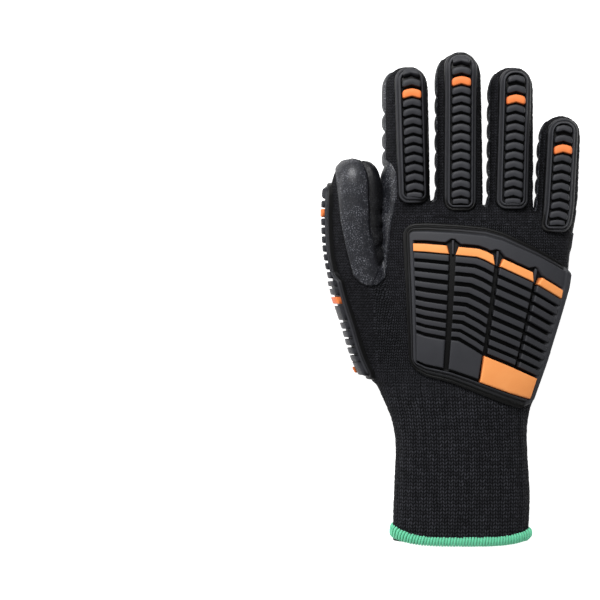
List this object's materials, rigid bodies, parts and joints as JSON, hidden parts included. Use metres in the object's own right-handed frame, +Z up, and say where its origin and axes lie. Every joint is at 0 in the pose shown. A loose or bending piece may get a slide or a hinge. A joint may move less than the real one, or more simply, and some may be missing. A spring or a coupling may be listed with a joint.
{
  "type": "anti vibration glove",
  "caption": "Right-hand knitted work glove with cushioned rubber palm, ribbed impact guards on back, fingers and thumb, and a long knitted cuff.",
  "frame": {"origin": "under the middle of the glove's bounding box, on the surface that it rests on", "axes": "+X towards the little finger, +Y from the cuff to the fingertips, +Z up from the palm through the back of the hand"},
  "size_m": [0.1404, 0.2658, 0.0344],
  "materials": {
    "knit": "black rib and plain knit, matt",
    "coat": "foam rubber with a dull sheen",
    "guard": "moulded thermoplastic rubber, matt",
    "accent": "moulded orange rubber, matt",
    "hem": "green overlock thread"
  },
  "bodies": {
    "root": {"knit_liner": "knit", "cuff_hem": "hem", "palm_coat": "coat", "index_coat": "coat", "middle_coat": "coat", "ring_coat": "coat", "little_coat": "coat", "thumb_coat": "coat", "index_guard": "guard", "middle_guard": "guard", "ring_guard": "guard", "little_guard": "guard", "thumb_guard": "guard", "back_plate": "guard", "index_accent": "accent", "middle_accent": "accent", "ring_accent": "accent", "little_accent": "accent", "thumb_accent_1": "accent", "thumb_accent_2": "accent", "thumb_accent_3": "accent", "knuckle_accent_1": "accent", "knuckle_accent_2": "accent", "knuckle_accent_3": "accent", "knuckle_accent_4": "accent", "plate_tab": "accent"}
  },
  "joints": []
}
